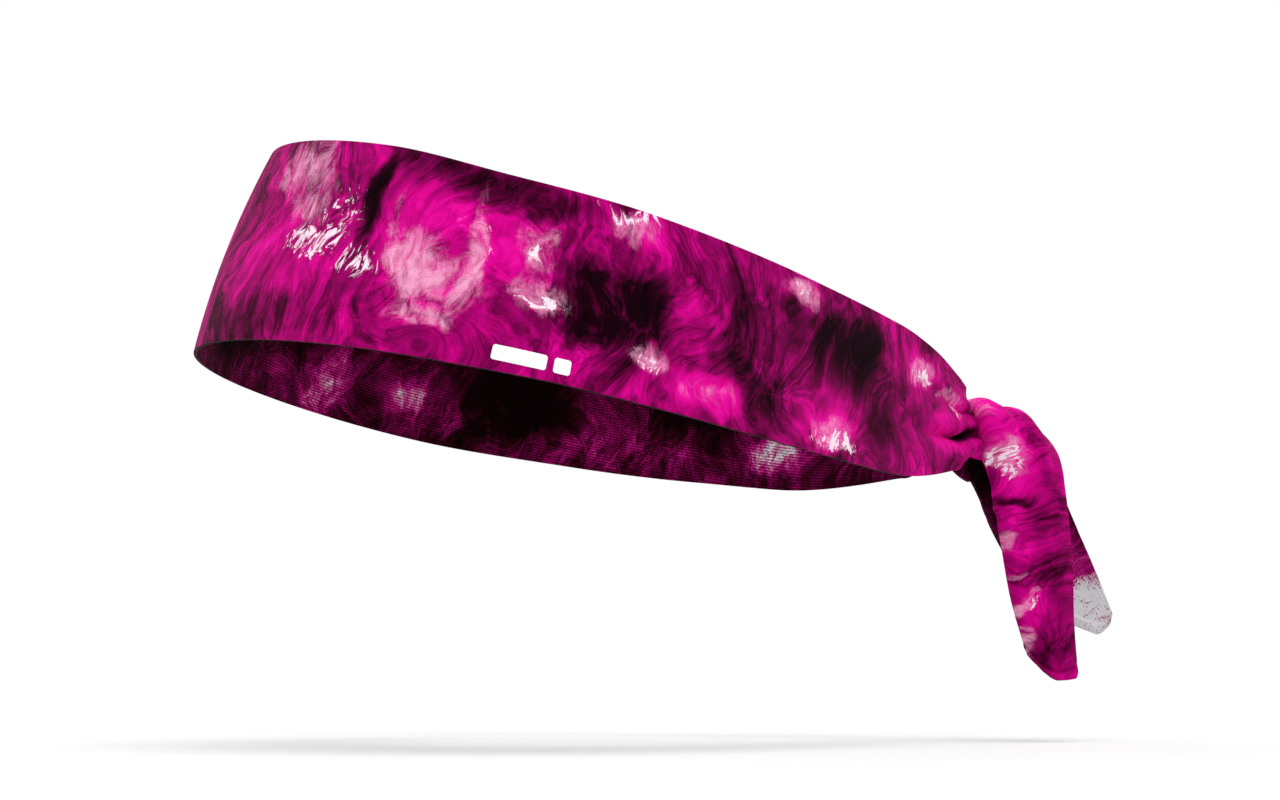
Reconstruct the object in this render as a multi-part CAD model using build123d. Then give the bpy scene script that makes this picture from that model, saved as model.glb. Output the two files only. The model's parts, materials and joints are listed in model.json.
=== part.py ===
from build123d import *
import math
import os

# A sports tie headband: one long strip of stretch knit, tapered to both ends, tied at the back with a half knot.
# Millimetres, +Z up, as worn on an upright head: -X is the forehead, +X the knot, -Y the wearer's left.
# The origin is the middle of the head opening. The band sits tilted, higher on the forehead than at the nape.

# ---- the loop round the head ----
CLOTH = 1.0               # thickness of the knit
LOOP_HALF_LENGTH = 102.0  # half the distance from forehead to knot
LOOP_HALF_WIDTH = 71.5
TEARDROP = 0.45           # how much fuller the forehead end is than the knot end
SQUARENESS = 0.08         # fills the loop out between its ends
SIDE_DIP = 2.6            # the sides run this much lower than the two ends
BAND_TILT = 12.8          # degrees, forehead up
END_LEAN = 8.0            # degrees that the wall leans in at its top, at forehead and knot
SIDE_LEAN = 12.4          # the same at the sides

# width of the strip at shares of the way from forehead (0) to knot (1)
WIDTHS = [(0.0, 54.6), (0.3, 51.4), (0.55, 47.2), (0.72, 39.2), (0.86, 22.2), (1.0, 13.3)]

PANEL_END = 0.28          # share of the way to the knot where the forehead panel ends
WING_END = 0.865          # and where a wing is gathered into its strand
PANEL_SECTIONS = 9
WING_SECTIONS = 11

# ---- the tails ----
TAIL_SIDE = 8.5           # a tail's middle plane, left or right of the knot
TAIL_THICKNESS = 1.6      # the tails are the strip folded on itself in places
BEND_GAP = 0.35           # free space between two lengths of a tail that bend on each other
CORNER_ROUND = 2.4        # at a tail's cut corners

# The right wing's end passes over the knot and hangs on the left, and the left wing's end the other way.
# pivot is (back, up) from the origin; lean is in degrees back from straight down; bends are distances
# below the pivot, and widths are there; cut is the slanting end, as (back, below the pivot) in the tail's plane.
RIGHT_TAIL = {
    "side": -1,
    "pivot": (111.5, -27.0),
    "lean": 9.1,
    "bends": [12.0, 36.0],
    "widths": [22.2, 18.6],
    "cut": [(-7.3, 53.6), (0.0, 62.2), (6.6, 62.6)],
}
LEFT_TAIL = {
    "side": 1,
    "pivot": (114.5, -27.5),
    "lean": 24.0,
    "bends": [12.0, 29.0],
    "widths": [20.8, 20.8],
    "cut": [(-10.2, 41.0), (5.4, 55.0), (10.4, 50.0)],
}
TAIL_ROOT_RADIUS = 9.6    # the round top of a tail, where it turns over the knot

# ---- the knot ----
KNOT_RIGHT_RISE = 5.8     # the right strand passes this far over the knot's middle
KNOT_LEFT_DROP = 3.7      # and the left strand this far under it
STRAND_SIDES = 12         # straight sides round a strand

# ---- the heat-transfer print: a plain bar and dot ----
PRINT_THICKNESS = 0.2
PRINT_STAND_OFF = 0.12
PRINT_SHARE = 0.361       # the middle of the bar, as a share of the way to the knot
PRINT_DROP = 20.3         # below the middle line of the strip
PRINT_BAR = (12.4, 3.8)
PRINT_DOT = (3.8, 3.8)
PRINT_GAP = 1.6
PRINT_SECTIONS = 4


def strip_width(share):
    """Width of the strip: a cubic between the stations that never overshoots them."""
    slopes = [(b[1] - a[1]) / (b[0] - a[0]) for a, b in zip(WIDTHS, WIDTHS[1:])]
    tangents = [0.0] + [2 * p * q / (p + q) for p, q in zip(slopes, slopes[1:])] + [slopes[-1] / 2]
    last = len(slopes) - 1
    i = next((n for n in range(last) if share <= WIDTHS[n + 1][0]), last)
    (s0, w0), (s1, w1) = WIDTHS[i], WIDTHS[i + 1]
    step = s1 - s0
    t = (share - s0) / step
    return (
        w0 * (2 * t**3 - 3 * t**2 + 1)
        + step * tangents[i] * (t**3 - 2 * t**2 + t)
        + w1 * (3 * t**2 - 2 * t**3)
        + step * tangents[i + 1] * (t**3 - t**2)
    )


def tilted(v):
    """From the loop's own level plane to the worn position."""
    t = math.radians(BAND_TILT)
    return Vector(v.X * math.cos(t) + v.Z * math.sin(t), v.Y, v.Z * math.cos(t) - v.X * math.sin(t))


def loop_point(angle, side):
    """The strip's middle line before the tilt; angle is 0 at the forehead, side is -1 on the wearer's left."""
    full = 1 + TEARDROP * math.cos(angle) - SQUARENESS * math.cos(2 * angle)
    return Vector(
        -LOOP_HALF_LENGTH * math.cos(angle),
        side * LOOP_HALF_WIDTH * full * math.sin(angle),
        -SIDE_DIP * math.sin(angle) ** 2,
    )


def wall_frame(share, side):
    """Middle point, outward direction and up-the-cloth direction of the wall."""
    angle = math.pi * share
    step = 1e-3
    along = loop_point(angle + step, side) - loop_point(angle - step, side)
    out = Vector(along.Y, -along.X, 0).normalized() * -side
    lean = math.radians(SIDE_LEAN * math.sin(angle) ** 2 + END_LEAN * math.cos(angle) ** 2)
    up = Vector(0, 0, 1) * math.cos(lean) - out * math.sin(lean)
    normal = out * math.cos(lean) + Vector(0, 0, 1) * math.sin(lean)
    return tilted(loop_point(angle, side)), tilted(normal), tilted(up)


def wall_section(share, side, low, high, inner, outer):
    """A rectangle across the wall: low to high up the cloth, inner to outer through it."""
    middle, out, up = wall_frame(share, side)
    corners = [(inner, low), (outer, low), (outer, high), (inner, high)]
    return Wire.make_polygon([middle + out * n + up * h for n, h in corners])


def cloth_section(share, side):
    half = strip_width(share) / 2
    return wall_section(share, side, -half, half, -CLOTH / 2, CLOTH / 2)


def spread(first, last, count):
    return [first + (last - first) * i / (count - 1) for i in range(count)]


def forehead_panel():
    sections = []
    for share in spread(-PANEL_END, PANEL_END, PANEL_SECTIONS):
        sections.append(cloth_section(abs(share), -1 if share < 0 else 1))
    return Solid.make_loft(sections)


def wing(side):
    return Solid.make_loft([cloth_section(s, side) for s in spread(PANEL_END, WING_END, WING_SECTIONS)])


# ---- the knot: the right strand passes over the left one ----
def knot_point(out, sideways, up):
    """A point measured from the back end of the loop, before the tilt: out, to the wearer's right, up."""
    return tilted(Vector(LOOP_HALF_LENGTH + out, sideways, up))


def strand_section(centre, along, across, wide, thick):
    """An oval of straight sides, square to the strand's run."""
    plane = Plane(origin=centre, x_dir=across, z_dir=along)
    turns = [2 * math.pi * i / STRAND_SIDES for i in range(STRAND_SIDES)]
    oval = [(wide / 2 * math.cos(t), thick / 2 * math.sin(t)) for t in turns]
    return Wire.make_polygon([plane.from_local_coords(Vector(x, y, 0)) for x, y in oval])


def knot_strand(side, rise):
    """The gathered end of a wing, through the knot to where its tail hangs, on the other side.

    side is the wing's side, and rise is the strand's height over the knot's middle, below zero for the one beneath.
    """
    turn = math.copysign(1, rise)
    middle, out, up = wall_frame(WING_END, side)
    sections = [strand_section(middle, out.cross(up) * side, up * turn, strip_width(WING_END), CLOTH)]
    stations = [
        # centre, run and wide direction, each as (out, across the knot, up), then how wide and how thick
        ((-5.2, 7.8, 0.1 * rise), (0.6, -0.8, 0.0), (0.0, 0.0, turn), 11.0, 3.8),
        ((-1.2, 3.6, 0.75 * rise), (0.6, -0.75, 0.07 * rise), (0.5, 0.3, 0.7 * turn), 8.6, 4.2),
        ((2.0, -1.4, rise), (0.5, -0.8, -0.1), (0.8, 0.5, 0.2 * turn), 8.0, 4.2),
        ((4.6, -4.7, 0.8 + 0.35 * rise), (0.3, -0.4, -0.8), (0.9, 0.1, 0.3), 8.4, 3.6),
        ((6.6, -5.6, -5.2 + 0.35 * rise), (0.3, 0.0, -0.95), (0.95, 0.0, 0.3), 9.0, 2.8),
    ]
    for centre, run, across_strand, wide, thick in stations:
        here, along, aside = (Vector(x, y * side, z) for x, y, z in (centre, run, across_strand))
        sections.append(strand_section(knot_point(*here), tilted(along), tilted(aside), wide, thick))
    return Solid.make_loft(sections, ruled=True)


# ---- the tails: three lengths each, hanging in a plane beside the knot ----
def pivot(tail):
    back, up = tail["pivot"]
    return Vector(back, tail["side"] * TAIL_SIDE, up)


def down(tail):
    lean = math.radians(tail["lean"])
    return Vector(math.sin(lean), 0, -math.cos(lean))


def along_bend(tail):
    """Unit direction of a bend of the tail, backwards."""
    lean = math.radians(tail["lean"])
    return Vector(math.cos(lean), 0, math.sin(lean))


def bend_point(tail, bend):
    return pivot(tail) + down(tail) * tail["bends"][bend]


def tail_plane(tail):
    """The tail's own plane: local +X backwards, local +Y up the tail."""
    return Plane(origin=pivot(tail), x_dir=along_bend(tail), z_dir=(0, -1, 0))


def cloth_plate(tail, outline):
    return extrude(tail_plane(tail) * outline, TAIL_THICKNESS / 2, both=True)


def rounded_upper_edge(tail, bend):
    """A half-round edge that turns in the bend."""
    plane = Plane(origin=bend_point(tail, bend), x_dir=(0, 1, 0), z_dir=along_bend(tail))
    return plane * Cylinder(TAIL_THICKNESS / 2, tail["widths"][bend])


def outline_of(corners):
    return make_face(Polyline(*corners, close=True))


def tail_root(tail):
    """A round top beside the knot and a short fall to the first bend."""
    radius, half = TAIL_ROOT_RADIUS, tail["widths"][0] / 2
    stop = tail["bends"][0] - TAIL_THICKNESS / 2 - BEND_GAP
    fall = outline_of([(-radius, 0), (radius, 0), (half, -stop), (-half, -stop)])
    return cloth_plate(tail, Circle(radius) + fall).solid()


def tail_middle(tail):
    (top, bottom), (top_width, bottom_width) = tail["bends"], tail["widths"]
    stop = bottom - TAIL_THICKNESS / 2 - BEND_GAP
    a, b = top_width / 2, bottom_width / 2
    outline = outline_of([(-a, -top), (a, -top), (b, -stop), (-b, -stop)])
    return (cloth_plate(tail, outline) + rounded_upper_edge(tail, 0)).solid()


def tail_tip(tail):
    top, half = tail["bends"][1], tail["widths"][1] / 2
    cut = [(back, -below) for back, below in tail["cut"]]
    outline = outline_of([(half, -top), (-half, -top)] + cut)
    cut_corners = outline.vertices().filter_by(lambda v: v.Y < -top - 1)
    outline = fillet(cut_corners, CORNER_ROUND)
    return (cloth_plate(tail, outline) + rounded_upper_edge(tail, 1)).solid()


# ---- the print on the left wing ----
def share_per_mm(share):
    """How much a millimetre along the left wall is, as a share of the way to the knot."""
    ahead = 0.01
    return ahead / (wall_frame(share + ahead, -1)[0] - wall_frame(share, -1)[0]).length


def print_patch(centre, length, height):
    """A thin rectangle that follows the cloth; centre is a share of the way to the knot."""
    half = length / 2 * share_per_mm(centre)
    inner = CLOTH / 2 + PRINT_STAND_OFF
    low, high = -PRINT_DROP - height / 2, -PRINT_DROP + height / 2
    sections = []
    for share in spread(centre - half, centre + half, PRINT_SECTIONS):
        sections.append(wall_section(share, -1, low, high, inner, inner + PRINT_THICKNESS))
    return Solid.make_loft(sections)


def transfer_print():
    bar_to_dot = (PRINT_BAR[0] + PRINT_DOT[0]) / 2 + PRINT_GAP
    bar = print_patch(PRINT_SHARE, *PRINT_BAR)
    dot = print_patch(PRINT_SHARE + bar_to_dot * share_per_mm(PRINT_SHARE), *PRINT_DOT)
    return Compound([bar, dot])


def build():
    parts = {
        "forehead_panel": forehead_panel(),
        "left_wing": wing(-1),
        "right_wing": wing(1),
        "left_knot_strand": knot_strand(-1, -KNOT_LEFT_DROP),
        "right_knot_strand": knot_strand(1, KNOT_RIGHT_RISE),
        "transfer_print": transfer_print(),
    }
    for name, tail in (("right_tail", RIGHT_TAIL), ("left_tail", LEFT_TAIL)):
        parts[f"{name}_root"] = tail_root(tail)
        parts[f"{name}_middle"] = tail_middle(tail)
        parts[f"{name}_tip"] = tail_tip(tail)
    return parts


if __name__ == "__main__":
    os.makedirs("parts", exist_ok=True)
    for node, shape in build().items():
        export_step(shape, f"parts/{node}.step")
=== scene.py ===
import json
import math
import bpy
import numpy as np
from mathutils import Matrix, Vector


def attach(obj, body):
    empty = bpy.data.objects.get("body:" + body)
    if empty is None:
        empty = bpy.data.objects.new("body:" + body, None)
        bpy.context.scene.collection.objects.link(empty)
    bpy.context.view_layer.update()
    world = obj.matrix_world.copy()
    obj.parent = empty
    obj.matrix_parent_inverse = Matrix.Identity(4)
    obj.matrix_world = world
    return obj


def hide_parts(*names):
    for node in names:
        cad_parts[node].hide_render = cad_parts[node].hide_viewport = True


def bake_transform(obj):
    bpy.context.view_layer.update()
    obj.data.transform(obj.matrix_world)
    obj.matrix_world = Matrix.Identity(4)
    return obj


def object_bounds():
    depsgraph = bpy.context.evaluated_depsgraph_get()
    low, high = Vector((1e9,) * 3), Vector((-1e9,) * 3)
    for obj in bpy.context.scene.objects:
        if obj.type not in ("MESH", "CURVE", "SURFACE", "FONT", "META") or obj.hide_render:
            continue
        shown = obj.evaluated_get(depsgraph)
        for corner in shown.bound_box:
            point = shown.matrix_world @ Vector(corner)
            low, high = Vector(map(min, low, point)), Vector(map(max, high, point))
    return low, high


# A sports tie headband: one strip of printed stretch knit, tapered, tied behind the head with a half knot.
# Shapes are worked out in millimetres in the CAD's frame and written to meshes in metres.
# Along the strip, s runs from the middle of the forehead, positive on the wearer's left.
# Across it, t runs from the lower edge, -1, to the upper edge, +1.

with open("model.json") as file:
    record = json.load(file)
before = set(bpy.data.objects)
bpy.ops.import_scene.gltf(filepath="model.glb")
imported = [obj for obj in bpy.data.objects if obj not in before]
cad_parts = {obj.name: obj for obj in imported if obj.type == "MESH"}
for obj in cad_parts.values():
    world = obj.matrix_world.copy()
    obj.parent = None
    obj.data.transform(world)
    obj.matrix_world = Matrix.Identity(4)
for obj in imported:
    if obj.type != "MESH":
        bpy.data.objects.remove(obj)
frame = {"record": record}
cad_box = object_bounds()
MM = 0.001
LEFT, RIGHT = -1, 1       # sides of the wearer, as the sign of Y
JOINTS = {joint["name"]: joint for joint in frame["record"]["behaviour"]["joints"]}

# ---- the loop: the CAD's own sizes ----
LOOP_HALF_LENGTH = 102.0
LOOP_HALF_WIDTH = 71.5
TEARDROP = 0.45            # how much narrower the loop is at the forehead than before the knot
SQUARENESS = 0.08
SIDE_DIP = 2.6             # how far the sides hang below the ends
BAND_TILT = math.radians(12.8)
END_LEAN = math.radians(8.0)    # the cloth leans outwards below, by this at the forehead
SIDE_LEAN = math.radians(12.4)  # and by this at the sides
WIDTH_SHARES = [0.0, 0.3, 0.55, 0.72, 0.86, 1.0]  # share of the way from the forehead to the knot
WIDTHS = [54.6, 51.4, 47.2, 39.2, 22.2, 13.3]

# ---- the cloth ----
CLOTH = 0.9                # thickness
ACROSS = 56                # faces across the strip
LOOP_ROWS = 150            # rows in half of the loop
KNOT_ROW_STEP = 0.7        # length of a row through the knot and the tails
GATHER_START = 0.80        # share of the way to the knot where the loop hands over to the knot's path
GATHER_FIRST_RIB = 0.87    # and the first rib of that path
FRONT_CROWN = 1.7          # how far the edges draw in at the forehead
# the cloth's edges stand this far above the CAD's plain ones, by share of the way to the knot
UPPER_TRIM = [0.0, 0.2, 0.32, 0.45, 0.6, 0.7, 0.76, 0.82, 0.9], [-0.2, -0.3, -1.6, -0.8, -0.8, 0.1, 1.2, 2.2, 1.6]
LOWER_TRIM = {
    LEFT: ([0.0, 0.3, 0.4, 0.6, 0.7, 0.8], [0.0, 0.2, 0.9, 1.0, 0.2, -0.8]),
    RIGHT: ([0.0, 0.3, 0.42, 0.55, 0.65, 0.75, 0.82], [0.0, -0.3, -0.5, 0.4, 0.3, -0.8, -1.3]),
}
FLAT_S = [0.0, 150.0, 282.0, 315.0, 365.0]     # the strip laid flat: distance from its middle
FLAT_WIDTHS = [56.0, 49.0, 31.0, 23.0, 16.0]   # and its width there

PRINT_SHARE = 0.361        # the print's place: the middle of the bar, as a share of the way to the knot
PRINT_DROP = 20.3          # and below the middle line of the strip
PRINT_BAR, PRINT_DOT, PRINT_GAP = (12.4, 3.8), (3.8, 3.8), 1.6
PRINT_THICKNESS, PRINT_STAND_OFF, PRINT_CORNER = 0.16, 0.04, 0.7
# its rings of points, from the back to the front: share of its outline, and height as a share of its thickness
PRINT_RINGS = [(0.5, 0.0), (1.0, 0.0), (1.0, 0.7), (0.97, 1.0), (0.8, 1.0), (0.6, 1.0), (0.4, 1.0), (0.2, 1.0)]


# ---- small helpers ----
def unit(v):
    v = np.asarray(v, float)
    return v / np.linalg.norm(v, axis=-1, keepdims=True)


def ease(a, b, x):
    """0 at a, 1 at b, and smooth between them."""
    t = np.clip((np.asarray(x, float) - a) / (b - a), 0, 1)
    return t * t * (3 - 2 * t)


def bump(x, centre, width):
    return np.exp(-(((x - centre) / width) ** 2))


def smooth_table(xs, ys, x):
    """A curve through the table's points that never overshoots them."""
    xs, ys = np.asarray(xs, float), np.asarray(ys, float)
    slopes = np.diff(ys) / np.diff(xs)
    same_way = slopes[:-1] * slopes[1:] > 0
    middle = np.where(same_way, 2 * slopes[:-1] * slopes[1:] / np.where(same_way, slopes[:-1] + slopes[1:], 1), 0)
    tangents = np.concatenate([[slopes[0] / 2], middle, [slopes[-1] / 2]])
    x = np.clip(x, xs[0], xs[-1])
    i = np.clip(np.searchsorted(xs, x) - 1, 0, len(xs) - 2)
    h = xs[i + 1] - xs[i]
    t = (x - xs[i]) / h
    return (
        ys[i] * (2 * t**3 - 3 * t**2 + 1)
        + h * tangents[i] * (t**3 - 2 * t**2 + t)
        + ys[i + 1] * (3 * t**2 - 2 * t**3)
        + h * tangents[i + 1] * (t**3 - t**2)
    )


# ---- the path of the strip ----
# A rib is one cross-section: centre, up-the-cloth direction, outward direction, width, fold, gather and crown.
# fold turns the outer quarters back behind the middle, gather is how strongly the cloth is pleated, and crown is
# how far its middle stands out.
RIB = {"centre": slice(0, 3), "up": slice(3, 6), "out": slice(6, 9), "width": 9, "fold": 10, "gather": 11, "crown": 12}


def rib(centre, up, out, width, fold=0.0, gather=0.0, crown=0.0):
    return np.concatenate([centre, up, out, [width, fold, gather, crown]])


def tilted(v):
    x, y, z = v
    c, s = math.cos(BAND_TILT), math.sin(BAND_TILT)
    return np.array([x * c + z * s, y, z * c - x * s])


def loop_point(angle, side):
    full = 1 + TEARDROP * math.cos(angle) - SQUARENESS * math.cos(2 * angle)
    return np.array([
        -LOOP_HALF_LENGTH * math.cos(angle),
        side * LOOP_HALF_WIDTH * full * math.sin(angle),
        -SIDE_DIP * math.sin(angle) ** 2,
    ])


def loop_rib(share, side):
    angle = math.pi * share
    along = loop_point(angle + 1e-3, side) - loop_point(angle - 1e-3, side)
    out = unit([along[1], -along[0], 0]) * -side
    lean = SIDE_LEAN * math.sin(angle) ** 2 + END_LEAN * math.cos(angle) ** 2
    level = np.array([0, 0, 1.0])
    up = level * math.cos(lean) - out * math.sin(lean)
    normal = out * math.cos(lean) + level * math.sin(lean)
    gather = float(ease(0.70, 0.90, share))
    width = float(smooth_table(WIDTH_SHARES, WIDTHS, share))
    upper, lower = (float(smooth_table(*trim, share)) for trim in (UPPER_TRIM, LOWER_TRIM[side]))
    crown = FRONT_CROWN * float(ease(0.30, 0.05, share))
    centre = loop_point(angle, side) + up * (upper + lower) / 2 - normal * crown
    return rib(tilted(centre), tilted(up), tilted(normal), width + upper - lower, 0, gather, crown)


SWAY, SWAY_LENGTH = 0.5, 9.0         # a slow wave along each tail
TAIL_FULLNESS = 1.02                 # a tail's cloth against its width, which its soft folds take up
TAIL_FOLD, TAIL_CROWN = 0.10, 0.5
HEM_CURL = 0.6                       # the last of the cloth curls outwards
HEM_ROLL, CORNER_ROLL = 0.8, 0.9     # the groove behind the hem, and how much deeper it is towards the front corner


class Tail:
    """Where a tail hangs: read from the joints, which give its line and where the CAD bends."""

    def __init__(self, name, side, distances, front, rear, cut, creases):
        points = [np.array(JOINTS[f"{name}_{j}"]["pos_m"]) / MM for j in ("swing", "fold", "tip_fold")]
        self.name, self.pivot = name, points[0]
        self.down = unit(points[2] - points[1])
        self.back = np.array([-self.down[2], 0, self.down[0]])
        self.bends = [float((p - self.pivot) @ self.down) for p in points[1:]]
        self.side, self.out = side, np.array([0.0, -side, 0.0])
        self.distances, self.front, self.rear, self.cut = distances, front, rear, cut
        self.creases = creases

    def edges(self, d):
        return (float(smooth_table(self.distances, side, d)) for side in (self.front, self.rear))

    def rib(self, d):
        front, rear = self.edges(d)
        sway = SWAY * math.sin(d / SWAY_LENGTH) * float(ease(8, 20, d))
        centre = self.pivot + self.down * d + self.back * (front + rear) / 2 + self.out * sway
        return rib(centre, -self.back, self.out, (rear - front) * TAIL_FULLNESS, TAIL_FOLD, 0.0, TAIL_CROWN)

    def surface(self, first, last, t):
        """A length of the tail, as points and their distances; last is None where it ends on its cut."""
        if last is None:
            across, ends = zip(*self.cut)
            front, rear = self.edges(np.mean(ends))
            stop = smooth_table(across, ends, (front + rear) / 2 - t * (rear - front) / 2)
        else:
            stop = np.full(len(t), float(last))
        count = math.ceil((stop.max() - first) / KNOT_ROW_STEP)
        distance = first + np.outer(np.linspace(0, 1, count + 1), stop - first)
        fine = np.linspace(first, stop.max(), 2 * count)
        dense = surface(self.side, [self.rib(d) for d in fine], t)
        points = np.stack([
            np.stack([np.interp(distance[:, j], fine, dense[:, j, k]) for j in range(len(t))], axis=1)
            for k in range(3)
        ], axis=2)
        place = (points - self.pivot) @ self.back
        depth = sum(
            high * ease(5, 8, distance) * bump(distance, at + slope * place, wide) * bump(place, where, reach)
            for at, slope, where, reach, wide, high in self.creases
        )
        if last is None:
            hem = stop - distance
            rolled = HEM_ROLL + CORNER_ROLL * ease(-0.1, 0.5, t)
            curl = HEM_CURL * bump(hem, 0.3, 0.9) - rolled * bump(hem, 2.4, 0.6) * ease(0.4, 2.5, hem)
            depth = depth + curl * ease(1.0, 0.82, np.abs(t))
        return points + depth[..., None] * self.out, distance


# Edges are measured from the hanging line, positive towards the back; a cut is (place across, distance) points.
# A crease is (distance, slope, place across, reach across, width, height).
RIGHT_TAIL = Tail(
    "right_tail", RIGHT,
    distances=[6, 12, 24, 36, 48, 62],
    front=[-8.8, -9.2, -8.9, -8.5, -7.2, -5.0], rear=[12.1, 11.8, 11.1, 10.1, 8.3, 6.8],
    cut=[(-6.0, 52.6), (-3.2, 58.8), (0.4, 61.7), (5.4, 62.1), (6.8, 60.8)],
    creases=[(12.2, -0.22, -7, 8, 0.8, -0.9), (14.4, -0.22, -6, 8, 1.5, 0.6), (8.6, -0.5, 3, 6, 1.2, -0.4)],
)
LEFT_TAIL = Tail(
    "left_tail", LEFT,
    distances=[4, 12, 24, 36, 50, 56],
    front=[-11.5, -12.1, -11.3, -10.8, -10.6, -10.4], rear=[11.2, 11.2, 11.1, 11.0, 10.8, 10.6],
    cut=[(-10.6, 41.0), (0.5, 50.3), (3.6, 53.4), (5.7, 55.0), (9.3, 53.9), (10.7, 51.4)],
    creases=[(16, 0.3, -4, 8, 1.2, -0.6), (30, -0.2, 3, 8, 1.6, 0.4)],
)
TAIL_START = 8.0                     # below the pivot, where the free tail begins
TURN_FROM = {RIGHT: -5.5, LEFT: -1.0}  # where its first bend begins, measured the same way
BEND_REACH = 3.4                     # half the length of the span worked out around each lower fold


def right_stations():
    """Over the knot, down its left side and out into the tail nearest the camera."""
    return [
        rib((95.5, 9.8, -19.6), (0.1, 0.0, 1.0), (0.75, 0.66, 0.0), 18.0, 0.0, 1.0),
        rib((99.4, 5.4, -18.0), (-0.74, -0.36, 0.55), (0.25, 0.62, 0.74), 23.0, 0.6, 0.8),
        rib((103.6, 0.8, -15.4), (-0.81, -0.52, 0.28), (0.20, 0.20, 0.96), 26.0, 0.95, 0.5, 0.6),
        rib((106.4, -4.4, -15.0), (-0.88, -0.40, 0.24), (0.25, -0.16, 0.94), 27.0, 0.85, 0.4, 0.8),
        rib((108.0, -8.6, -18.0), (-0.95, -0.22, 0.08), (0.15, -0.83, 0.50), 26.5, 0.65, 0.4, 1.0),
        rib((109.0, -10.2, -22.2), (-0.97, 0.0, -0.20), (0.0, -1.0, 0.10), 25.0, 0.45, 0.25, 1.0),
        rib((112.4, -9.6, -28.2), (-0.985, 0.0, -0.17), (0.0, -1.0, 0.0), 22.8, 0.22, 0.1, 0.8),
        RIGHT_TAIL.rib(TAIL_START),
        RIGHT_TAIL.rib(TAIL_START + 6),
    ]


def left_stations():
    """Under the knot, turning half over, and out into the tail behind."""
    return [
        rib((94.8, -10.4, -20.3), (0.0, 0.1, 1.0), (0.72, -0.69, 0.0), 19.0, 0.0, 1.0),
        rib((99.6, -6.8, -19.9), (-0.30, 0.20, 0.93), (0.75, -0.62, 0.30), 20.4, 0.45, 0.9),
        rib((102.4, -3.0, -22.4), (-0.92, 0.33, -0.14), (0.02, 0.12, 0.99), 27.0, 0.42, 0.6, 1.8),
        rib((105.8, 1.6, -24.0), (-0.86, 0.26, -0.40), (-0.28, 0.42, 0.84), 26.5, 0.34, 0.5, 2.8),
        rib((110.6, 5.6, -27.0), (-0.86, 0.16, -0.43), (-0.20, 0.78, 0.58), 25.0, 0.28, 0.4, 0.6),
        rib((114.4, 8.2, -29.8), (-0.90, 0.03, -0.42), (0.0, 1.0, 0.2), 24.0, 0.2, 0.2, 0.5),
        LEFT_TAIL.rib(TAIL_START),
        LEFT_TAIL.rib(TAIL_START + 6),
    ]


def spline(points, step):
    """Rows along a smooth curve through the ribs, all but the last one, about a step apart."""
    points = np.array(points)
    rows = []
    for i in range(1, len(points) - 2):
        p0, p1, p2, p3 = points[i - 1:i + 3]
        gap = [max(np.linalg.norm(b[:3] - a[:3]), 1e-6) ** 0.5 for a, b in ((p0, p1), (p1, p2), (p2, p3))]
        count = max(2, round(gap[1] ** 2 / step))
        m1 = (p2 - p1) / gap[1] - (p2 - p0) / (gap[0] + gap[1]) + (p1 - p0) / gap[0]
        m2 = (p3 - p2) / gap[2] - (p3 - p1) / (gap[1] + gap[2]) + (p2 - p1) / gap[1]
        for t in np.arange(count) / count:
            a, b = 2 * t**3 - 3 * t**2 + 1, 3 * t**2 - 2 * t**3
            c, d = t**3 - 2 * t**2 + t, t**3 - t**2
            rows.append(a * p1 + b * p2 + gap[1] * (c * m1 + d * m2))
    rows.append(points[-2])
    return rows


def half_rows(side, stations):
    """Ribs of half of the strip, from the middle of the forehead to where its tail begins."""
    shares = np.linspace(0, GATHER_START, LOOP_ROWS)
    step = shares[1] - shares[0]
    rows = [loop_rib(share, side) for share in shares[:-1]]
    lead_in = [loop_rib(GATHER_START + k * step * 10, side) for k in (-1, 0, 1)]
    return rows + spline(lead_in + [loop_rib(GATHER_FIRST_RIB, side)] + stations, KNOT_ROW_STEP)


# ---- the surface ----
def folded_profile(t, fold):
    """Across and out positions of a rib of half-width 1, its outer quarters turned back by fold half turns."""
    fine = np.linspace(0, 1, 241)
    turn = math.pi * fold * ease(0.30, 0.84, fine)
    step = fine[1]
    across = np.concatenate([[0], np.cumsum(np.cos((turn[1:] + turn[:-1]) / 2)) * step])
    back = np.concatenate([[0], np.cumsum(np.sin((turn[1:] + turn[:-1]) / 2)) * step])
    return np.sign(t) * np.interp(np.abs(t), fine, across), -np.interp(np.abs(t), fine, back)


PLEATS = {                 # height, place across and width of each pleat
    LEFT: [(2.8, -0.70, 0.22), (-3.6, -0.30, 0.10), (1.2, -0.02, 0.14), (-1.3, 0.34, 0.09), (0.7, 0.62, 0.15)],
    RIGHT: [(1.6, -0.55, 0.18), (-2.0, -0.15, 0.10), (1.2, 0.25, 0.16), (-1.3, 0.62, 0.10)],
}


def pleats(side, t):
    """Outward depth of the gathers across a fully gathered rib, in millimetres."""
    return sum(high * bump(t, at, wide) for high, at, wide in PLEATS[side])


def surface(side, rows, t):
    """Middle surface of the cloth: one row of points for each rib."""
    rows = np.array(rows)
    points = np.zeros((len(rows), len(t), 3))
    for i, r in enumerate(rows):
        out = unit(r[RIB["out"]])
        up = unit(r[RIB["up"]] - (r[RIB["up"]] @ out) * out)
        across, depth = folded_profile(t, r[RIB["fold"]])
        half = r[RIB["width"]] / 2
        depth = depth * half + r[RIB["crown"]] * (1 - across**2) + r[RIB["gather"]] * pleats(side, t)
        points[i] = r[RIB["centre"]] + np.outer(across * half, up) + np.outer(depth, out)
    return points


def flat_width(s):
    return np.interp(np.abs(s), FLAT_S, FLAT_WIDTHS)


# ---- meshes ----
def grid_normals(points, side):
    """Outward directions of a grid of points."""
    along, across = np.gradient(points, axis=0), np.gradient(points, axis=1)
    return unit(np.cross(along, across)) * -side


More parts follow.
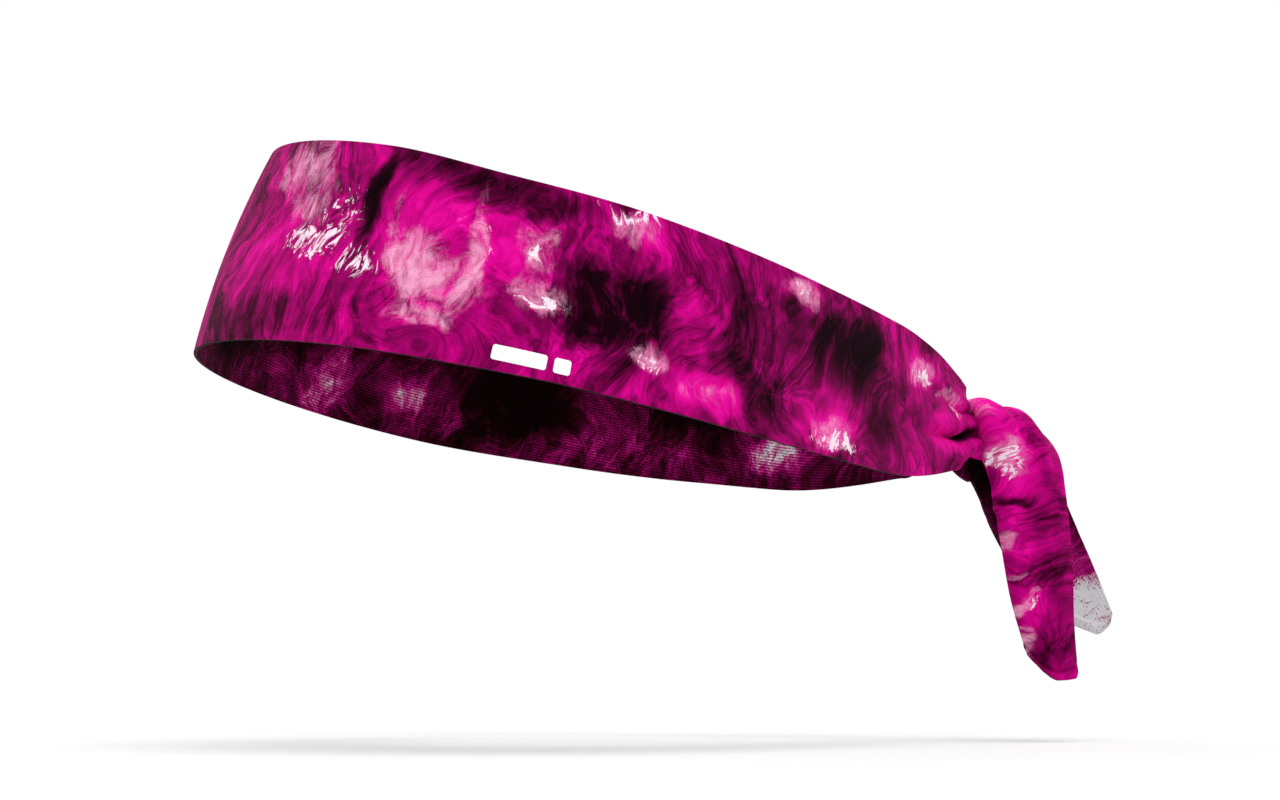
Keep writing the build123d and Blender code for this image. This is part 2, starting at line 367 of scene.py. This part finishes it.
def cloth_mesh(name, points, normals, s, t, side):
    """Cloth with two faces and its edges, from a grid of points in millimetres.

    s is each point's distance along the strip and t its place across, which the print follows.
    """
    n, m = points.shape[:2]
    vertices = np.concatenate([points + normals * CLOTH / 2, points - normals * CLOTH / 2]).reshape(-1, 3) * MM
    place = np.stack([s, t * flat_width(s) / 2], axis=-1).reshape(-1, 2) * MM
    index = np.arange(n * m).reshape(n, m)
    front = np.stack([index[:-1, :-1], index[1:, :-1], index[1:, 1:], index[:-1, 1:]], axis=-1).reshape(-1, 4)
    lines = [index[:, 0], index[::-1, -1], index[0, ::-1], index[-1, :]]
    rim = np.concatenate([np.stack([p[:-1], p[:-1] + n * m, p[1:] + n * m, p[1:]], axis=-1) for p in lines])
    if side == RIGHT:
        front, rim = front[:, ::-1], rim[:, ::-1]
    faces = np.concatenate([front, front[:, ::-1] + n * m, rim])

    mesh = bpy.data.meshes.new(name)
    mesh.from_pydata(vertices.tolist(), [], faces.tolist())
    for material in CLOTHES:
        mesh.materials.append(material)
    slots = np.repeat([0, 1, 2], [len(front), len(front), len(rim)])
    mesh.polygons.foreach_set("material_index", slots.astype(np.int32))
    mesh.polygons.foreach_set("use_smooth", np.ones(len(faces), bool))
    corners = faces.ravel()
    mesh.uv_layers.new(name="strip").data.foreach_set("uv", place[corners % (n * m)].ravel())
    shading = np.concatenate([normals, -normals]).reshape(-1, 3)[corners]
    quad = vertices[rim]
    flat = unit(np.cross(quad[:, 2] - quad[:, 0], quad[:, 3] - quad[:, 1]))
    shading[len(front) * 8:] = np.repeat(flat, 4, axis=0)
    mesh.update()
    mesh.normals_split_custom_set(shading.tolist())
    piece = bpy.data.objects.new(name, mesh)
    bpy.context.scene.collection.objects.link(piece)
    return piece


# ---- materials ----
# The print is a flowing marble, from black through magenta to pale pink. Its tone is one number from 0 to 1:
# a broad layout of soft light and dark patches, pulled about by slow swirls, with streaks, contour lines and dark
# veins over it. Pale clouds and white feathers are mixed in after that.
class Nodes:
    """Short names for the shader nodes used here; numbers and sockets may be mixed."""

    def __init__(self, material):
        material.use_nodes = True
        self.tree = material.node_tree
        self.shader = self.tree.nodes["Principled BSDF"]

    def node(self, kind, inputs=(), output=0, **settings):
        made = self.tree.nodes.new(kind)
        for key, value in settings.items():
            setattr(made, key, value)
        for key, value in dict(inputs).items():
            if isinstance(value, bpy.types.NodeSocket):
                self.tree.links.new(value, made.inputs[key])
            else:
                made.inputs[key].default_value = value
        return made.outputs[output]

    def math(self, operation, a, b=0.0, c=0.0, clamp=False):
        return self.node("ShaderNodeMath", {0: a, 1: b, 2: c}, operation=operation, use_clamp=clamp)

    def add(self, a, b):
        return self.math("ADD", a, b)

    def scaled(self, a, by, plus=0.0):
        return self.math("MULTIPLY_ADD", a, by, plus)

    def vector(self, operation, a, b=(0, 0, 0), c=(0, 0, 0), output=0):
        return self.node("ShaderNodeVectorMath", {0: a, 1: b, 2: c}, output=output, operation=operation)

    def noise(self, place, detail=3.0, roughness=0.5, distortion=0.0, output=0):
        inputs = {"Vector": place, "Scale": 1.0, "Detail": detail, "Roughness": roughness, "Distortion": distortion}
        return self.node("ShaderNodeTexNoise", inputs, output)

    def smooth(self, value, low, high, to_low=0.0, to_high=1.0):
        inputs = {"Value": value, "From Min": low, "From Max": high, "To Min": to_low, "To Max": to_high}
        return self.node("ShaderNodeMapRange", inputs, interpolation_type="SMOOTHSTEP")

    def patches(self, place, table):
        """The sum of soft oval patches: (s, t, half-length, half-height, strength) in millimetres."""
        total = None
        for s, t, long, high, strength in table:
            scaled = self.vector("MULTIPLY_ADD", place, (1 / long, 1 / high, 1), (-s / long, -t / high, 0))
            reach = self.vector("LENGTH", scaled, output=1)
            soft = self.smooth(reach, 0.25, 1.0, strength, 0.0)
            total = soft if total is None else self.add(total, soft)
        return total

    def ramp(self, value, stops):
        made = self.tree.nodes.new("ShaderNodeValToRGB")
        colors = made.color_ramp.elements
        while len(colors) < len(stops):
            colors.new(0.5)
        for element, (position, color) in zip(colors, stops):
            element.position, element.color = position, (*color, 1)
        self.tree.links.new(value, made.inputs[0])
        return made.outputs[0]

    def blend(self, share, a, b):
        made = self.tree.nodes.new("ShaderNodeMix")
        made.data_type = "RGBA"
        for socket, value in ((made.inputs["Factor"], share), (made.inputs[6], a), (made.inputs[7], b)):
            if isinstance(value, bpy.types.NodeSocket):
                self.tree.links.new(value, socket)
            else:
                socket.default_value = value
        return made.outputs[2]

    def connect(self, value, name):
        self.tree.links.new(value, self.shader.inputs[name])


# Patches of the print, with three of painted shade among them: s along the strip, t above its middle line,
# half-length, half-height, strength.
DARK_AND_BRIGHT = [
    # forehead and left wing
    (30, 6, 26, 24, 0.06), (22, -24, 28, 12, -0.16), (62, 10, 3.6, 19, -0.36), (76, 25, 22, 8, -0.12),
    (84, 2, 26, 22, 0.14), (48, -18, 16, 8, -0.10), (104, 22, 26, 7, -0.20), (112, 14, 14, 9, -0.06),
    (127, -3, 24, 17, -0.29), (137, 4, 9, 9, -0.16), (133, 20, 14, 8, 0.16), (137, -12, 10, 7, 0.14),
    (155, -17, 16, 7, 0.24), (160, 7, 18, 16, -0.10), (170, -8, 16, 13, -0.14), (186, 17, 10, 6, 0.16),
    (206, 8, 24, 14, -0.34), (199, -14, 18, 8, 0.24), (176, -16, 12, 7, -0.12), (240, 10, 13, 8, 0.18),
    # (270, -4, 6, 3, -0.50) is painted shade: the dark pocket of the gathered fold at the knot end of the left wing.
    (226, -6, 18, 9, -0.08), (256, -5, 20, 8, 0.14), (264, 4, 12, 5, 0.16), (270, -4, 6, 3, -0.50),
    # right wing
    (-16, 6, 20, 18, 0.04), (-46, -8, 38, 20, -0.22), (-97, -15, 14, 14, 0.16), (-80, 16, 16, 12, 0.10),
    (-121, -14, 12, 10, 0.14), (-150, -4, 20, 20, -0.38), (-174, -13, 16, 10, 0.10), (-198, 2, 16, 16, -0.22),
    (-226, -12, 18, 10, 0.16), (-236, 8, 14, 8, -0.14),
    # right tail, then left tail
    # (-320.5, 6, 2.4, 8, -0.30) is painted shade: the dark crease across the right tail below the knot.
    (-330, 0, 50, 50, 0.02), (-290, 0, 22, 14, 0.14), (-310, 5, 12, 9, 0.16), (-320.5, 6, 2.4, 8, -0.30),
    (-318, -5, 5, 8, -0.10), (-325, -5, 8, 10, -0.18), (-333, 5, 11, 8, 0.10), (-341, -3, 9, 10, -0.10),
    # (300, 2, 18, 14, -0.24) is painted shade: the left strand darkened where it runs under the knot and behind the
    # right tail.
    (-349, 5, 10, 6, 0.20), (-362, -2, 9, 9, -0.10), (300, 2, 18, 14, -0.24), (326, 0, 16, 14, 0.26),
]
PALE = [
    (30, 20, 20, 13, 0.62), (42, 10, 12, 12, 0.42), (79, -3, 12, 13, 0.80), (92, 4, 4, 22, 0.80),
    (84, -17, 12, 5, 0.62), (71, 5, 4, 14, 0.44), (88, -8, 16, 12, 0.34), (107, 9, 7, 11, 0.52),
    (110, -5, 11, 8, 0.62), (131, 20, 10, 7, 0.60), (137, -12, 8, 6, 0.86), (155, -17, 13, 4, 0.30),
    (186, 17, 9, 5, 0.84), (199, -15, 14, 7, 0.52), (240, 10, 11, 6, 0.74), (258, 6, 14, 3, 0.60),
    (-97, -15, 12, 12, 0.80), (-121, -14, 9, 9, 0.72), (-80, 16, 14, 10, 0.60), (-226, -12, 15, 8, 0.86),
    (-290, 6, 12, 5, 0.40), (-309, 6, 9, 8, 0.60), (-333, 8, 4.5, 6, 0.56), (-340, 7, 1.6, 5, 0.40),
    (-350, 9.5, 2.4, 3.6, 0.74), (-348.2, 6.5, 2.4, 3.6, 0.74), (-346.4, 3.2, 2.0, 3.2, 0.60), (-359, 8.5, 8, 4, 0.50),
    (352, 3, 20, 12, 0.80),
]
BARE = [(334, 0, 20, 60, 0.20), (357, 0, 25, 60, 0.58)]      # where the inner face stays nearly white
FEATHERS = [
    (46, 0, 15, 7, 0.80), (54, 8, 9, 9, 0.50), (62, -6, 9, 5, 0.72), (94, 8, 2.5, 14, 0.42),
    (130, 23, 13, 4, 0.66), (110, -6, 8, 4, 0.86), (107, 8, 3, 9, 0.50), (137, -13, 7, 4, 0.66),
    (186, 18, 6, 3, 0.50), (201, -17, 15, 5, 0.74), (242, 9, 8, 4, 0.74), (264, 3, 9, 3, 0.66),
    (-310, 7, 8, 6.5, 0.76), (-38, -14, 12, 9, 0.60), (-104, 12, 12, 8, 0.60), (-180, 4, 10, 8, 0.60),
    (-348.4, 6.5, 2.4, 5.5, 0.52),
]
MARBLE = [                 # the outside's colour for each tone
    (0.00, (0.0015, 0.0002, 0.0006)), (0.14, (0.010, 0.0002, 0.003)), (0.26, (0.060, 0.0004, 0.020)),
    (0.38, (0.160, 0.0006, 0.060)), (0.50, (0.340, 0.0008, 0.126)), (0.63, (0.560, 0.0010, 0.212)),
    (0.78, (0.720, 0.0040, 0.290)), (1.00, (0.800, 0.1100, 0.420)),
]
PALE_PINK = (0.79, 0.34, 0.52, 1)
WHITE_PINK = (0.86, 0.70, 0.78, 1)
# The inside's colours: the print showing weakly through, kept darker than the outside's as painted shade of the loop's
# inside.
INSIDE_PRINT_AND_SHADE = [        # and the inside's
    (0.00, (0.0010, 0.0002, 0.0003)), (0.20, (0.003, 0.0004, 0.0007)), (0.36, (0.026, 0.0008, 0.006)),
    (0.50, (0.122, 0.0014, 0.044)), (0.64, (0.310, 0.0040, 0.125)), (0.76, (0.400, 0.018, 0.170)),
    (0.87, (0.330, 0.190, 0.250)), (1.00, (0.580, 0.560, 0.580)),
]
RIB_PITCH = 0.75           # of the knit
BASE_TONE, PATCH_STRENGTH = 0.455, 1.15


def marble_layers(n, place):
    """The print at a place on the strip, in millimetres: its tone, which holds a few patches of painted shade too, its
    pale clouds and its white feathers.
    """
    slow = n.noise(n.vector("MULTIPLY", place, (0.020, 0.024, 0.0)), 1.0, 0.4, output=1)
    quick = n.noise(n.vector("MULTIPLY", place, (0.070, 0.055, 0.0)), 2.0, 0.45, output=1)
    pulled = n.vector("MULTIPLY_ADD", slow, (62, 74, 0), n.vector("ADD", place, (-31, -37, 0)))
    drawn = n.vector("MULTIPLY_ADD", quick, (11, 12, 0), n.vector("ADD", pulled, (-5.5, -6, 0)))
    near = n.vector("MULTIPLY_ADD", quick, (12, 13, 0), n.vector("ADD", place, (-6, -6.5, 0)))
    streaks = n.noise(n.vector("MULTIPLY", drawn, (0.26, 0.035, 0.0)), 3.0, 0.55)
    hairs = n.noise(n.vector("MULTIPLY", drawn, (1.10, 0.085, 0.0)), 2.0, 0.6)
    folds = n.noise(n.vector("MULTIPLY", drawn, (0.055, 0.030, 0.0)), 2.0, 0.5, 0.8)
    clouds = n.noise(n.vector("MULTIPLY", near, (0.12, 0.10, 0.0)), 8.0, 0.62, 0.2)
    tone = n.scaled(n.patches(near, DARK_AND_BRIGHT), PATCH_STRENGTH, BASE_TONE)
    for layer, strength in ((streaks, 0.46), (hairs, 0.22), (folds, 0.56), (clouds, 0.70)):
        tone = n.add(tone, n.scaled(layer, strength, -strength / 2))
    contours = n.math("SINE", n.scaled(n.add(folds, n.scaled(streaks, 0.12)), 70.0))
    fading = n.smooth(clouds, 0.40, 0.60, 0.2, 1.4)
    tone = n.add(tone, n.math("MULTIPLY", n.smooth(contours, -0.6, 0.95, -0.035, 0.035), fading))
    veins = n.noise(n.vector("MULTIPLY", drawn, (0.10, 0.045, 0.0)), 4.0, 0.55, 0.5)
    from_vein = n.math("ABSOLUTE", n.scaled(veins, 1.0, -0.5))
    tone = n.add(tone, n.smooth(from_vein, 0.002, 0.030, -0.075, 0.006))
    mottle = n.noise(n.vector("MULTIPLY", near, (0.30, 0.17, 0.0)), 10.0, 0.74, 0.5)
    clouded = n.patches(near, PALE)
    pale = n.smooth(n.add(clouded, n.scaled(mottle, 3.2, -1.6)), 0.10, 1.40)
    pale = n.math("MULTIPLY", pale, n.smooth(clouded, 0.02, 0.35))
    between = n.vector("MULTIPLY_ADD", drawn, (0.35, 0.35, 0), n.vector("MULTIPLY", near, (0.65, 0.65, 0)))
    crackle = n.noise(n.vector("MULTIPLY", between, (0.42, 0.20, 0.0)), 7.0, 0.66, 1.4)
    around = n.patches(near, FEATHERS)
    feathers = n.smooth(n.add(around, n.scaled(crackle, 4.4, -2.2)), 0.62, 0.95)
    feathers = n.math("MULTIPLY", feathers, n.smooth(around, 0.04, 0.30))
    return tone, pale, feathers


def knit_material(name, inside):
    material = bpy.data.materials.new(name)
    n = Nodes(material)
    place = n.vector("MULTIPLY", n.node("ShaderNodeUVMap", uv_map="strip"), (1000, 1000, 0))
    tone, pale, feathers = marble_layers(n, place)
    across = n.node("ShaderNodeSeparateXYZ", {0: place}, 1)
    wobble = n.noise(n.vector("MULTIPLY", place, (0.5, 0.9, 0)), 2.0, 0.5)
    ribs = n.math("SINE", n.scaled(n.add(across, n.scaled(wobble, 0.35)), 2 * math.pi / RIB_PITCH))
    loops = n.noise(n.vector("MULTIPLY", place, (2.6, 2.2, 0)), 2.0, 0.6)
    yarn = n.noise(n.vector("MULTIPLY", place, (5.0, 1.6, 0)), 1.0, 0.5)
    if inside:
        # the print shows weakly through to the back, darkened overall as painted shade of the loop's inside, with
        # painted shade in the grooves between the ribs; the left tail's end is nearly bare, with a ragged border and
        # specks
        tone = n.add(n.add(n.scaled(pale, 0.42, -0.02), n.scaled(feathers, 0.16)), tone)
        bare = n.patches(place, BARE)
        specks = n.noise(n.vector("MULTIPLY", place, (1.5, 1.5, 0)), 4.0, 0.62)
        clear = n.math("MULTIPLY", n.smooth(tone, 0.1, 0.7), n.smooth(bare, 0.02, 0.25, 1.0, 0.25))
        ragged = n.add(bare, n.scaled(specks, 0.5, -0.25))
        tone = n.add(tone, n.smooth(bare, 0.0, 0.30, 0.0, 0.15))
        tone = n.add(tone, n.smooth(ragged, 0.34, 0.50, 0.0, 0.50))
        tone = n.add(tone, n.scaled(loops, 0.16, -0.08))
        # painted shade in the grooves between the ribs, stronger on pale cloth and weaker on the bare end
        tone = n.add(tone, n.math("MULTIPLY", n.scaled(ribs, 0.10, -0.05), clear))
        tone = n.add(tone, n.smooth(specks, 0.54, 0.64, 0.0, -0.24))
        color = n.ramp(tone, INSIDE_PRINT_AND_SHADE)
    else:
        # a faint painted shade in the grooves between the ribs
        tone = n.add(tone, n.scaled(ribs, 0.010))
        tone = n.add(tone, n.scaled(loops, 0.07, -0.035))
        color = n.ramp(tone, MARBLE)
        pale = n.math("MULTIPLY", pale, n.scaled(loops, 0.6, 0.68), clamp=True)
        color = n.blend(pale, color, PALE_PINK)
        color = n.blend(n.math("MULTIPLY", feathers, 0.95), color, WHITE_PINK)
    n.connect(color, "Base Color")
    n.connect(n.scaled(loops, 0.16, 0.66 if not inside else 0.76), "Roughness")
    n.shader.inputs["Specular IOR Level"].default_value = 0.06
    n.shader.inputs["Specular Tint"].default_value = (1.0, 0.03, 0.45, 1) if not inside else (0.8, 0.1, 0.3, 1)
    height = n.add(n.scaled(ribs, 0.5), n.scaled(yarn, 0.8))
    bump = n.node("ShaderNodeBump", {"Strength": 0.35 if inside else 0.16, "Distance": 0.0002, "Height": height})
    n.connect(bump, "Normal")
    return material


def edge_material(name):
    """The cut edge: white yarn ends with the print's stain on them, and the print's tone halved and lowered as painted
    shade along the rim.
    """
    material = bpy.data.materials.new(name)
    n = Nodes(material)
    place = n.vector("MULTIPLY", n.node("ShaderNodeUVMap", uv_map="strip"), (1000, 1000, 0))
    yarn = n.noise(n.vector("MULTIPLY", place, (3.4, 3.4, 0)), 3.0, 0.7)
    # the print's tone, halved and lowered: painted shade along the cut edge
    tone = n.scaled(marble_layers(n, place)[0], 0.5, -0.03)
    stained_and_shaded = n.ramp(n.add(tone, n.scaled(yarn, 0.36, -0.18)), MARBLE)
    n.connect(n.blend(n.smooth(yarn, 0.52, 0.72, 0.0, 0.07), stained_and_shaded, (0.55, 0.36, 0.46, 1)), "Base Color")
    n.shader.inputs["Roughness"].default_value = 0.9
    n.shader.inputs["Specular IOR Level"].default_value = 0.1
    n.connect(n.node("ShaderNodeBump", {"Strength": 0.4, "Distance": 0.0003, "Height": yarn}), "Normal")
    return material


def ink_material(name):
    """Soft white transfer ink over the knit, with its ribs just showing."""
    material = bpy.data.materials.new(name)
    n = Nodes(material)
    place = n.vector("MULTIPLY", n.node("ShaderNodeTexCoord", output=3), (1000, 1000, 1000))
    grain = n.noise(place, 4.0, 0.6)
    ribs = n.math("SINE", n.scaled(n.node("ShaderNodeSeparateXYZ", {0: place}, 2), 2 * math.pi / RIB_PITCH))
    color = n.ramp(grain, [(0.25, (0.74, 0.70, 0.73)), (0.6, (0.92, 0.90, 0.91)), (1.0, (0.96, 0.95, 0.95))])
    n.connect(color, "Base Color")
    n.connect(n.scaled(grain, 0.3, 0.35), "Roughness")
    height = n.add(n.scaled(ribs, 0.3), grain)
    n.connect(n.node("ShaderNodeBump", {"Strength": 0.2, "Distance": 0.0001, "Height": height}), "Normal")
    return material


def floor_material():
    material = bpy.data.materials.new("floor")
    n = Nodes(material)
    n.shader.inputs["Base Color"].default_value = (0.70, 0.70, 0.70, 1)
    n.shader.inputs["Roughness"].default_value = 1.0
    n.shader.inputs["Specular IOR Level"].default_value = 0.0
    return material


CLOTHES = [knit_material("knit_outside", False), knit_material("knit_inside", True), edge_material("knit_edge")]


def running_length(points):
    middle = points[:, points.shape[1] // 2]
    return np.concatenate([[0], np.cumsum(np.linalg.norm(np.diff(middle, axis=0), axis=1))])


def declare(grid):
    """Measure how long the piece of cloth runs along its middle; the length is not kept or used."""
    long = running_length(grid)[-1]


def add_print():
    """A bar and a dot of heat-transfer ink, which follow the cloth."""
    ahead = 0.01           # a small share of the way, to measure shares against millimetres
    middle = loop_rib(PRINT_SHARE, LEFT)[:3]
    per_mm = ahead / np.linalg.norm(loop_rib(PRINT_SHARE + ahead, LEFT)[:3] - middle)
    trims = (smooth_table(*UPPER_TRIM, PRINT_SHARE) + smooth_table(*LOWER_TRIM[LEFT], PRINT_SHARE)) / 2
    dot_at = (PRINT_BAR[0] + PRINT_DOT[0]) / 2 + PRINT_GAP
    around = np.linspace(0, 2 * math.pi, 96, endpoint=False)
    vertices, faces = [], []

    def vertex(x, y, rise):
        r = loop_rib(PRINT_SHARE + x * per_mm, LEFT)
        out, up = unit(r[RIB["out"]]), unit(r[RIB["up"]])
        lift = CLOTH / 2 + PRINT_STAND_OFF + rise * PRINT_THICKNESS
        vertices.append((r[:3] + up * (y - PRINT_DROP - trims) + out * lift) * MM)
        return len(vertices) - 1

    for centre, (long, high) in ((0, PRINT_BAR), (dot_at, PRINT_DOT)):
        # a rounded rectangle: each side's straight part, then its corner
        x, y = (
            np.clip(turn * 9, -1, 1) * (size / 2 - PRINT_CORNER) + turn * PRINT_CORNER
            for turn, size in ((np.cos(around), long), (np.sin(around), high))
        )
        rows = [
            [vertex(centre + px, py, rise) for px, py in zip(x * inward, y * inward)] for inward, rise in PRINT_RINGS
        ]
        for a, b in zip(rows, rows[1:]):
            faces += [(a[i - 1], a[i], b[i], b[i - 1]) for i in range(len(a))]
        back, front = vertex(centre, 0, 0.0), vertex(centre, 0, 1.0)
        faces += [(rows[0][i], rows[0][i - 1], back) for i in range(len(around))]
        faces += [(rows[-1][i - 1], rows[-1][i], front) for i in range(len(around))]
    mesh = bpy.data.meshes.new("transfer_print_mark")
    mesh.from_pydata([tuple(v) for v in vertices], [], faces)
    mesh.materials.append(ink_material("print_ink"))
    mesh.update()
    mark = bpy.data.objects.new("transfer_print_mark", mesh)
    bpy.context.scene.collection.objects.link(mark)
    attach(mark, "band")
    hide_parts("transfer_print")


def add_cloth():
    t = np.linspace(-1, 1, ACROSS + 1)
    halves = {}
    # turn is the station at which the strand ends and the tail's first piece begins
    for side, stations, turn in ((RIGHT, right_stations(), 4), (LEFT, left_stations(), 3)):
        rows = np.array(half_rows(side, stations))
        grid = surface(side, rows, t)
        seam = int(np.linalg.norm(rows[:, :3] - stations[turn][:3], axis=1).argmin())
        halves[side] = grid, running_length(grid), seam

    # the loop and the two strands in the knot are one piece, from right to left
    (right, right_s, right_seam), (left, left_s, left_seam) = halves[RIGHT], halves[LEFT]
    normals = {side: grid_normals(np.concatenate([other[5:0:-1], grid]), side)[5:]
               for side, grid, other in ((RIGHT, right, left), (LEFT, left, right))}
    points, outward = (
        np.concatenate([a[right_seam:0:-1], b[:left_seam + 1]])
        for a, b in ((right, left), (normals[RIGHT], normals[LEFT]))
    )
    s = np.concatenate([-right_s[right_seam:0:-1], left_s[:left_seam + 1]])
    strip = cloth_mesh("headband_strip", points, outward, s[:, None] + 0 * t, 0 * s[:, None] + t, LEFT)
    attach(strip, "band")
    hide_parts("forehead_panel", "left_wing", "right_wing", "left_knot_strand", "right_knot_strand")
    declare(points)

    for tail in (RIGHT_TAIL, LEFT_TAIL):
        grid, lengths, seam = halves[tail.side]
        between = (tail.bends[0] + tail.bends[1]) / 2
        turn = grid, lengths[:, None] - lengths[-1] + TAIL_START + 0 * t
        stretches = [turn, tail.surface(TAIL_START, between, t), tail.surface(between, None, t)]
        whole = np.concatenate([stretches[0][0], stretches[1][0][1:], stretches[2][0][1:]])
        outward = grid_normals(whole, tail.side)
        ends = np.cumsum([len(points) - 1 for points, _ in stretches])
        starts = [seam, *ends[:2]]
        distance = np.concatenate([stretches[0][1], stretches[1][1][1:], stretches[2][1][1:]])
        s = -tail.side * (lengths[-1] - TAIL_START + distance)
        nodes = ["band"] + [f"{tail.name}_{node}" for node in ("root", "middle", "tip")]
        joints = [(TURN_FROM[tail.side], TAIL_START - 1)]
        joints += [(bend - BEND_REACH, bend + BEND_REACH) for bend in tail.bends]
        for kind, first, last, upper, lower, joint in zip(
            ("turn", "fall", "end"), starts, ends, nodes, nodes[1:], joints
        ):
            rows = slice(first, last + 1)
            name = f"{tail.name}_{kind}"
            piece = cloth_mesh(name, whole[rows], outward[rows], s[rows], 0 * s[rows] + t, tail.side)
            start, stop = (tuple((tail.pivot + tail.down * d) * MM) for d in joint)
            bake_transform(piece)
            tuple(start)
            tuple(stop)
            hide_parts(lower)
            declare(whole[rows])


add_cloth()
add_print()


# ---- stage, light and camera ----
VIEW_AZIMUTH = math.radians(-16.8)
VIEW_ELEVATION = math.radians(-5.0)
VIEW_DISTANCE = 0.918
LENS = 98.97
SHIFT = (0.0234, -0.0445)
FLOOR_DROP = 0.016         # below the lowest point of the tails
FLOOR_HALF = 4.0


def aim(thing, place):
    """Stand a camera or a light at a place, facing the origin."""
    thing.location = place
    thing.rotation_euler = (-Vector(place)).to_track_quat("-Z", "Y").to_euler()


def add_camera():
    camera = bpy.data.objects.new("camera", bpy.data.cameras.new("camera"))
    bpy.context.scene.collection.objects.link(camera)
    level = VIEW_DISTANCE * math.cos(VIEW_ELEVATION)
    place = (level * math.sin(VIEW_AZIMUTH), -level * math.cos(VIEW_AZIMUTH), VIEW_DISTANCE * math.sin(VIEW_ELEVATION))
    aim(camera, place)
    camera.data.lens = LENS
    camera.data.sensor_width = 36
    camera.data.shift_x, camera.data.shift_y = SHIFT
    camera.data.clip_start = 0.01
    bpy.context.scene.camera = camera


def add_light(place, spread, power):
    """A wide soft light, far enough away to be even all over the floor."""
    light = bpy.data.objects.new("key", bpy.data.lights.new("key", "SUN"))
    light.data.angle, light.data.energy = spread, power
    bpy.context.scene.collection.objects.link(light)
    aim(light, place)


def add_floor():
    low = cad_box[0][2] - FLOOR_DROP
    mesh = bpy.data.meshes.new("floor")
    corners = [(x * FLOOR_HALF, y * FLOOR_HALF, low) for x, y in ((-1, -1), (1, -1), (1, 1), (-1, 1))]
    mesh.from_pydata(corners, [], [(0, 1, 2, 3)])
    mesh.materials.append(floor_material())
    floor = bpy.data.objects.new("floor", mesh)
    bpy.context.scene.collection.objects.link(floor)


def add_world():
    world = bpy.data.worlds.new("studio")
    bpy.context.scene.world = world
    world.use_nodes = True
    background = world.node_tree.nodes["Background"]
    background.inputs["Color"].default_value = (1, 1, 1, 1)
    background.inputs["Strength"].default_value = 1.0


add_camera()
add_floor()
add_world()
add_light((-0.05, -0.45, 1.6), spread=math.radians(42), power=1.6)
bpy.context.scene.view_settings.view_transform = "Standard"
